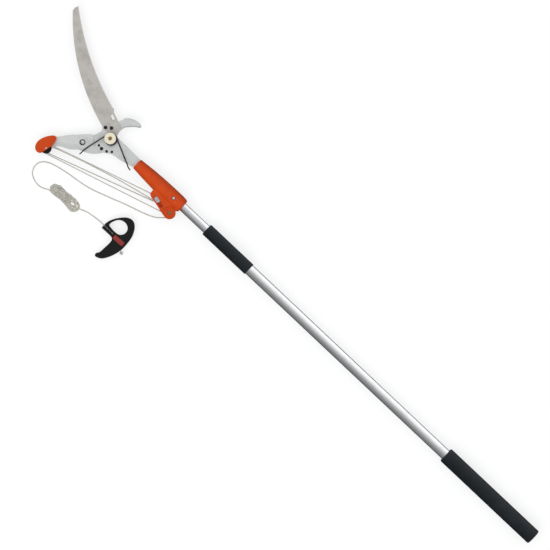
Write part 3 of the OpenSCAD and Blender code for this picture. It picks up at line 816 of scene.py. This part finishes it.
BOSS_Z = 15.0
RING_HEIGHT = 1.7
BOSS_RINGS = [(raised_ring(r0, r1, BOSS_Z, RING_HEIGHT), REAR_AXLE) for r0, r1 in ((13.4, 16.4), (5.4, 8.6))]
cast("housing_upper_shell", 0.5, 4, BOSS_RINGS)
cast("housing_lower_shell", 0.5, 4)
cast("lever_cap", 0.5, 7)
cast("handle_body", 0.7, 6)
cast("rope_lock_button", 0.4, 3, keep=0.5)

# ---------------------------------------------------------------- turned pieces

SPOOL_LIP = 3.2
SPOOL_TOP = COIL_LOW + COIL_RISE + WIRE_R + SPOOL_LIP
turned_piece("spring_spool", [[
    (4.0, 1.75), (9.8, 1.75), (9.8, SPOOL_TOP - 3), (15.2, SPOOL_TOP - 3), (15.7, SPOOL_TOP - 2.4),
    (15.7, SPOOL_TOP - 0.9), (15.0, SPOOL_TOP - 0.2), (13.4, SPOOL_TOP), (12.2, SPOOL_TOP),
    (11.9, SPOOL_TOP - 0.5), (11.2, SPOOL_TOP - 0.5), (10.9, SPOOL_TOP), (6.6, SPOOL_TOP),
    (6.0, SPOOL_TOP - 0.8), (4.0, SPOOL_TOP - 0.8),
]], bevel=0.12)

turned_piece("pole_bolt", [[
    (0, -20.5), (3, -20.5), (3, 17.5), (4.8, 17.5), (4.8, 18.6), (4.4, 19.5), (3.4, 20.1), (1.8, 20.3),
    (0, 20.3),
]], bevel=0.1, centre=(-235, 0))

RIVET_AT = (48, 59)
turned_piece("lever_rivet", [[
    (0, -6.65), (4.6, -6.65), (6.2, -6.0), (6.5, -5.05), (4, -5.05), (4, 0.95), (8, 0.95), (8, 2.0),
    (7.4, 2.4), (6.4, 2.4), (5.8, 1.6), (0, 1.6),
]], mat=black_steel, bevel=0.1, centre=RIVET_AT)
turned_piece("lever_rivet", [[
    (0, 1.5), (5.4, 1.5), (5.3, 2.0), (4.6, 2.6), (3.4, 3.0), (1.8, 3.15), (0, 3.2),
]], mat=zinc, centre=RIVET_AT, stem="_dome")


def domed_head(z, r, height):
    """Profile of a domed screw head standing on z, from its rim to its middle."""
    return [(r, z), (r, z + height * 0.3), (r * 0.93, z + height * 0.6), (r * 0.72, z + height * 0.86),
            (r * 0.4, z + height * 0.98), (0, z + height)]


RECESS_WIDTH = 0.9


def cross_recess(obj, places, depth, size):
    """Cuts a crossed slot into each screw head."""
    bm = bmesh.new()
    for x, y, z, turn in places:
        for extra in (0, 90):
            matrix = (Matrix.Translation(head(x, y, z)) @ Matrix.Rotation(math.radians(turn + extra), 4, "Z")
                      @ Matrix.Diagonal((size * 2 * MM, RECESS_WIDTH * MM, depth * 2 * MM, 1)))
            bmesh.ops.create_cube(bm, size=1.0, matrix=matrix)
    mesh = bpy.data.meshes.new("slots")
    bm.to_mesh(mesh)
    bm.free()
    cutter = bpy.data.objects.new("slots", mesh)
    scene.collection.objects.link(cutter)
    cut = obj.modifiers.new("slots", "BOOLEAN")
    cut.operation = "DIFFERENCE"
    cut.solver = "EXACT"
    cut.use_self = True
    cut.object = cutter
    made = evaluated_mesh(obj)
    obj.modifiers.clear()
    old = obj.data
    obj.data = made
    bpy.data.meshes.remove(old)
    bpy.data.objects.remove(cutter)
    smooth_mesh(made, 30)


def screws(node_name, places, shank_r, z0, z1, radii, height):
    """Domed screws with crossed slots: a shank from z0 to z1 under each head."""
    bm = bmesh.new()
    for place, r in zip(places, radii):
        profile = [(0, z0), (shank_r, z0), (shank_r, z1)] + domed_head(z1, r, height)
        turned_bm(bm, profile, place, sides=40)
    bmesh.ops.recalc_face_normals(bm, faces=bm.faces)
    obj = stand_in(node_name, mesh_from(bm, node_name + "_made", 30))
    tops = [(x, y, z1 + height, 20 + 50 * i) for i, (x, y) in enumerate(places)]
    cross_recess(obj, tops, height * 0.45, min(radii) * 0.55)


STUD_RING = 36
STUD_ANGLES = (74, 92, 117, 140)
STUD_RADII = (3.4, 4.8, 3.6, 3.6)
studs_at = [(STUD_RING * math.cos(math.radians(a)), STUD_RING * math.sin(math.radians(a)))
            for a in STUD_ANGLES]
screws("frame_studs", studs_at, 2, -1.75, 1.75, STUD_RADII, 2.0)
SAW_BOLTS = [(30, -13), (17, -23)]
screws("saw_bolts", SAW_BOLTS, 2.5, -6.5, 3.35, (5, 5), 3.5)


def sheave_profile(rope_at, z, bore):
    """Section of a grooved wheel with a raised hub and a dished web."""
    half, rim, rope_r = 2.8, 1.8, 1.5
    lower = [
        (bore, half), (bore + 2.2, half), (bore + 2.6, half - 0.7), (rope_at - 3.1, half - 0.7),
        (rope_at - 2.6, half), (rope_at + rim, half), (rope_at + rim, half - 0.6),
        (rope_at - 0.5, rope_r + 0.15), (rope_at - rope_r - 0.4, 1.2),
    ]
    return [(r, z - up) for r, up in lower] + [(r, z + up) for r, up in reversed(lower)]


turned_piece("lever_sheave_upper", [sheave_profile(UPPER_R, UPPER_Z, 2.56)], bevel=0.15, centre=LEVER_AXLE)
turned_piece("lever_sheave_lower", [sheave_profile(LOWER_R, LOWER_Z, 2.56)], bevel=0.15, centre=LEVER_AXLE)
turned_piece("housing_sheave_rear", [sheave_profile(REAR_R, REAR_Z, 2.56)], bevel=0.15, centre=REAR_AXLE)
turned_piece("housing_sheave_front", [sheave_profile(FRONT_R, FRONT_Z, 2.06)], bevel=0.15, centre=FRONT_AXLE)
turned_piece("bottom_grip", [[
    (0, 0), (18.5, 0), (20.2, 0.5), (21.5, 1.8), (22, 3.6), (22, 321.5), (21.6, 323.6), (20.4, 325.2),
    (18.8, 326), (15.1, 326), (15, 325.4), (15, 6), (0, 6),
]], axis="X", sides=128)
SLEEVE_X0, SLEEVE_X1 = 1055, 1213
turned_piece("lock_sleeve", [[
    (15.3, SLEEVE_X0), (15.9, SLEEVE_X0), (16.9, SLEEVE_X0 + 0.5), (17.5, SLEEVE_X0 + 1.8),
    (17.5, SLEEVE_X1 - 2.8), (17.1, SLEEVE_X1 - 1.2), (16.0, SLEEVE_X1 - 0.2), (15.0, SLEEVE_X1),
    (12.6, SLEEVE_X1), (12.6, 1190), (14.1, 1186), (15.5, 1160), (16.3, 1160), (16.3, 1094), (15.3, 1094),
]], axis="X", sides=128)
turned_piece("lower_tube", [[
    (13.7, 6), (15, 6), (15, 1149.6), (14.7, 1150), (13.9, 1150), (13.7, 1149.8),
]], axis="X", sides=128)


# ---------------------------------------------------------------- ground plates

def ground_plate(node_name, shifts, width=0.35):
    """A copy of a plate whose top or bottom outline is moved in at some places, as a ground bevel is.

    shifts takes a point in mm from the pivot and whether it is on the top, and gives its move or None."""
    bm = bmesh.new()
    bm.from_mesh(frame["nodes"][node_name].data)
    bmesh.ops.remove_doubles(bm, verts=bm.verts, dist=0.00001)
    bmesh.ops.dissolve_limit(bm, angle_limit=math.radians(0.3), verts=bm.verts, edges=bm.edges)
    heights = [v.co.z for v in bm.verts]
    middle = (min(heights) + max(heights)) / 2
    moved = set()
    for v in bm.verts:
        move = shifts(v.co.x / MM - PIVOT_X / MM, v.co.y / MM, v.co.z > middle)
        if move is not None:
            v.co.x += move[0] * MM
            v.co.y += move[1] * MM
            moved.add(v)
    if width:
        rims = [e for e in sharp_edges(bm, 35) if not moved.intersection(e.verts)
                and abs(e.verts[0].co.z - e.verts[1].co.z) < 0.0001]
        break_edges(bm, rims, width)
    bmesh.ops.triangulate(bm, faces=[f for f in bm.faces if len(f.verts) > 4])
    return stand_in(node_name, mesh_from(bm, node_name + "_made", 12))


def blade_edge(x, y, top):
    """The lopper blade's cutting edge, ground on its upper side."""
    if top and y < -10.5 and x < 6:
        k = min(1.0, (6 - x) / 12, max(0.0, (x + 88) / 10) + 0.3)
        return (0.0, 3.6 * k)
    return None


def hook_edge(x, y, top):
    """The hook's inner edge, ground on its upper side."""
    on_hook = y < -20 and x < 9 and (y > -78 or x > -40)
    on_inside = x * 0.75 - y * 0.55 < 48 and (x + 2) * 0.62 + y * 0.3 < 0
    if top and on_hook and on_inside:
        k = min(1.0, (-20 - y) / 8)
        return (2.6 * k, -2.2 * k)
    return None


# The saw's toothed edge: a shallow curve from heel to tip that bows out by SAW_BOW
HEEL = np.array((48.0, -65.0))
TIP_EDGE = np.array((307.0, -202.0))
SAW_BOW = 14.5
TOOTH_PITCH = 5
TOOTH_LEAN = 1.5
TOOTH_COUNT = int(np.linalg.norm(TIP_EDGE - HEEL) // TOOTH_PITCH)


def tooth_points():
    """Roots and tips of the saw's teeth by turns, along the edge."""
    way = TIP_EDGE - HEEL
    side = np.array((-way[1], way[0])) / np.linalg.norm(way)
    t = np.arange(TOOTH_COUNT * 2 + 1)[:, None] / (TOOTH_COUNT * 2)
    return HEEL + way * t + side * SAW_BOW * 4 * t * (1 - t)


tooth_tips = tooth_points()[1::2]


def saw_tooth(x, y, top):
    """Tooth tips lean back on the top and on the bottom by turns, as ground teeth do."""
    far = np.linalg.norm(tooth_tips - np.array((x, y)), axis=1)
    i = int(far.argmin())
    if far[i] < 0.6 and (i % 2 == 0) == top:
        return (0.46 * TOOTH_LEAN, 0.89 * TOOTH_LEAN)
    return None


ground_plate("cutting_blade", blade_edge)
ground_plate("frame_plate", hook_edge)
ground_plate("saw_blade", saw_tooth, 0)

# ---------------------------------------------------------------- everything else, from the CAD

WIDTHS = {"lever_arm": 0.5, "upper_tube": 0.2}
for name in sorted(frame["nodes"]):
    if not frame["nodes"][name].hide_render:
        refined(name, WIDTHS.get(name, 0.3))

button_spring = bpy.data.objects["rope_lock_spring_made"]
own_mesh(button_spring)

# ---------------------------------------------------------------- floor

floor_mesh = bpy.data.meshes.new("floor")
floor_corners = [(x, y, FLOOR_Z) for x, y in ((-8, -8), (10, -8), (10, 8), (-8, 8))]
floor_mesh.from_pydata(floor_corners, [], [(0, 1, 2, 3)])
floor_obj = bpy.data.objects.new("floor", floor_mesh)
scene.collection.objects.link(floor_obj)
floor_obj.visible_glossy = False
floor_obj.visible_diffuse = False
floor_mat, floor_tree, floor_main = shader("floor", (0.6, 0.6, 0.6), 0.8, spec=0.0)
floor_main.inputs["Emission Color"].default_value = (1, 1, 1, 1)
floor_main.inputs["Emission Strength"].default_value = 0.72
speck = noise(floor_tree, coords(floor_tree), 30.0, 3.0)
floor_tree.links.new(ramp(floor_tree, speck, [(0.2, (0.29, 0.29, 0.29)), (0.8, (0.31, 0.31, 0.31))]),
                     floor_main.inputs["Base Color"])
floor_mesh.materials.append(floor_mat)
